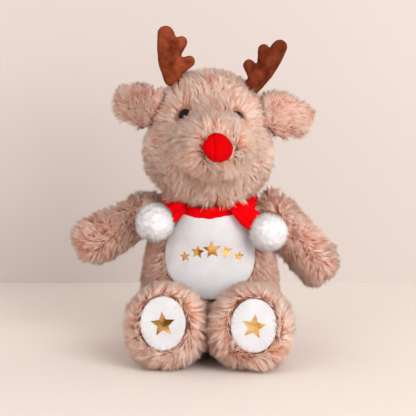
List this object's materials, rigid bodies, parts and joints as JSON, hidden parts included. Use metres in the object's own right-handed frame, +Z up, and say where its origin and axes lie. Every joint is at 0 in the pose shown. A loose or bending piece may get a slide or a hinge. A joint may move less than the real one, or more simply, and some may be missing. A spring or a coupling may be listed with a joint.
{
  "type": "plush deer",
  "caption": "Sitting stuffed deer of long tan fur with padded brown antlers, a red velour nose, white velour tummy and soles, and a red scarf with white pompoms.",
  "frame": {"origin": "middle of the flat seat under the torso, on the ground", "axes": "+Z up, the face and the soles look along -Y, +X is the viewer's right, which is the toy's own left"},
  "size_m": [0.2096, 0.1716, 0.2523],
  "materials": {
    "fur": "long-pile plush, pinkish tan with darker roots",
    "white_velour": "short-nap velour",
    "red_fleece": "matt fleece",
    "brown_velour": "short-nap velour",
    "white_wool": "dense wool tuft",
    "filling": "polyester fibre",
    "calico": "woven cotton",
    "black_plastic": "polished",
    "clear_plastic": "moulded, translucent"
  },
  "bodies": {
    "torso": {"torso_plush": "fur", "tummy_panel": "white_velour", "torso_stuffing": "filling", "bean_pouch": "calico", "scarf_band": "red_fleece"},
    "neck": {"neck_stuffing": "filling"},
    "head": {"head_plush": "fur", "head_stuffing": "filling", "muzzle_plush": "fur", "muzzle_stuffing": "filling", "nose": "red_fleece", "eye_left": "black_plastic", "eye_right": "black_plastic", "eye_washer_left": "clear_plastic", "eye_washer_right": "clear_plastic"},
    "tail": {"tail_plush": "fur"},
    "arm_left": {"arm_left_plush": "fur", "arm_left_stuffing": "filling"},
    "leg_left": {"leg_left_plush": "fur", "leg_left_stuffing": "filling", "foot_pad_left": "white_velour"},
    "ear_left": {"ear_left": "fur"},
    "antler_left": {"antler_left_cover": "brown_velour", "antler_left_stuffing": "filling"},
    "scarf_tail_left": {"scarf_tail_left": "red_fleece", "pompom_left": "white_wool"},
    "arm_right": {"arm_right_plush": "fur", "arm_right_stuffing": "filling"},
    "leg_right": {"leg_right_plush": "fur", "leg_right_stuffing": "filling", "foot_pad_right": "white_velour"},
    "ear_right": {"ear_right": "fur"},
    "antler_right": {"antler_right_cover": "brown_velour", "antler_right_stuffing": "filling"},
    "scarf_tail_right": {"scarf_tail_right": "red_fleece", "pompom_right": "white_wool"}
  },
  "joints": [
    {"name": "head_turn", "type": "hinge", "parent": "torso", "child": "neck", "pos_m": [0, 0, 0.0935], "axis": [0, 0, 1], "range_deg": [-30, 30], "stiffness_Nm_per_rad": 1},
    {"name": "head_nod", "type": "hinge", "parent": "neck", "child": "head", "pos_m": [0, 0, 0.0935], "axis": [1, 0, 0], "range_deg": [-10, 0], "stiffness_Nm_per_rad": 1.6},
    {"name": "tail_lift", "type": "hinge", "parent": "torso", "child": "tail", "pos_m": [0, 0.04972, 0.036], "axis": [1, 0, 0], "range_deg": [-15, 20], "stiffness_Nm_per_rad": 0.02},
    {"name": "arm_left_lift", "type": "hinge", "parent": "torso", "child": "arm_left", "pos_m": [-0.04937, 0, 0.10379], "axis": [0, 1, 0], "range_deg": [-24, 51], "stiffness_Nm_per_rad": 0.16},
    {"name": "leg_left_swing", "type": "hinge", "parent": "torso", "child": "leg_left", "pos_m": [-0.03135, -0.04632, 0.02787], "axis": [-1, 0, 0], "range_deg": [-20, 10], "stiffness_Nm_per_rad": 0.4},
    {"name": "ear_left_flap", "type": "hinge", "parent": "head", "child": "ear_left", "pos_m": [-0.0421, -0.01522, 0.18693], "axis": [0.1706, 0.0033, 0.9853], "range_deg": [-25, 25], "stiffness_Nm_per_rad": 0.03},
    {"name": "antler_left_flex", "type": "hinge", "parent": "head", "child": "antler_left", "pos_m": [-0.02779, -0.01487, 0.21018], "axis": [0.9862, 0.0256, 0.1633], "range_deg": [-15, 15], "stiffness_Nm_per_rad": 0.05},
    {"name": "scarf_tail_left_swing", "type": "hinge", "parent": "torso", "child": "scarf_tail_left", "pos_m": [-0.02226, -0.0378, 0.11589], "axis": [-0.2146, -0.7517, 0.6236], "range_deg": [-15, 20], "stiffness_Nm_per_rad": 0.03},
    {"name": "arm_right_lift", "type": "hinge", "parent": "torso", "child": "arm_right", "pos_m": [0.04937, 0, 0.10379], "axis": [0, -1, 0], "range_deg": [-1, 74], "stiffness_Nm_per_rad": 0.16},
    {"name": "leg_right_swing", "type": "hinge", "parent": "torso", "child": "leg_right", "pos_m": [0.03135, -0.04671, 0.02949], "axis": [-1, 0, 0], "range_deg": [-20, 10], "stiffness_Nm_per_rad": 0.4},
    {"name": "ear_right_flap", "type": "hinge", "parent": "head", "child": "ear_right", "pos_m": [0.04214, -0.01301, 0.1831], "axis": [-0.1153, -0.0018, -0.9933], "range_deg": [-25, 25], "stiffness_Nm_per_rad": 0.03},
    {"name": "antler_right_flex", "type": "hinge", "parent": "head", "child": "antler_right", "pos_m": [0.0325, -0.01329, 0.20535], "axis": [0.6995, 0.5191, -0.4912], "range_deg": [-15, 15], "stiffness_Nm_per_rad": 0.05},
    {"name": "scarf_tail_right_swing", "type": "hinge", "parent": "torso", "child": "scarf_tail_right", "pos_m": [0.01999, -0.03923, 0.11556], "axis": [0.3406, -0.7953, 0.5014], "range_deg": [-15, 20], "stiffness_Nm_per_rad": 0.03}
  ]
}
